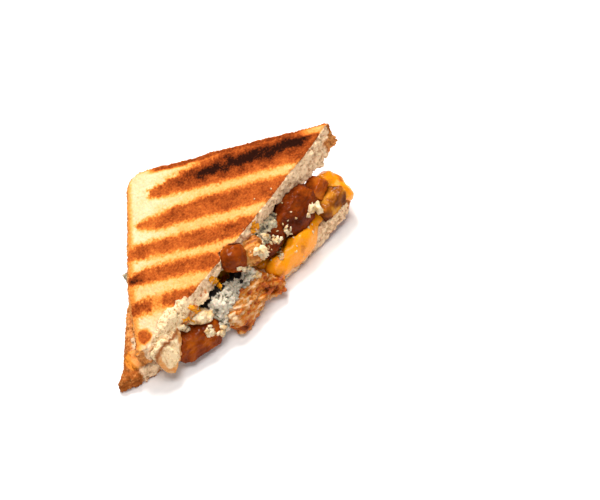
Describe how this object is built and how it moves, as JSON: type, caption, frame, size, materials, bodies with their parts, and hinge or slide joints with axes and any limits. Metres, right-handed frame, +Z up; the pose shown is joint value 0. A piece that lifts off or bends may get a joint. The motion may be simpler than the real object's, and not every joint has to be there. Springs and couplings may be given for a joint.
{
  "type": "chicken melt",
  "caption": "Grilled chicken melt half, cut corner to corner: toasted bread slices round glazed chicken, melted orange cheese and blue cheese, lying flat with the filling showing at the cut.",
  "frame": {"origin": "middle of the bounding box's underside, on the table", "axes": "+X along the cut towards the raised far corner, +Y from the cut side towards the crusted back corner, +Z up"},
  "size_m": [0.1738, 0.106, 0.0496],
  "materials": {
    "toast": "grilled bread, matte",
    "cheddar": "melted orange cheese, soft gloss",
    "chicken_glazed": "sauce-glazed chicken, glossy",
    "chicken_torn": "torn chicken, satin",
    "blue_cheese": "blue cheese, crumbly",
    "pale_cheese": "pale cheese, matte"
  },
  "bodies": {
    "root": {"bread_lower": "toast", "bread_upper": "toast", "cheddar": "cheddar", "chicken_near_large": "chicken_glazed", "chicken_torn": "chicken_torn", "chicken_far_cube": "chicken_glazed", "chicken_far_large": "chicken_glazed", "chicken_middle": "chicken_glazed", "chicken_round": "chicken_glazed", "chicken_tan": "chicken_torn", "chicken_far_corner": "chicken_torn", "chicken_back_near_1": "chicken_glazed", "chicken_back_near_2": "chicken_torn", "chicken_back_far_1": "chicken_glazed", "chicken_back_far_2": "chicken_torn", "chicken_back_far_3": "chicken_glazed", "chicken_bed": "chicken_torn", "pale_shaving": "pale_cheese", "blue_cheese_lump": "blue_cheese", "blue_cheese_smear": "blue_cheese", "blue_cheese_leg": "blue_cheese"}
  },
  "joints": []
}
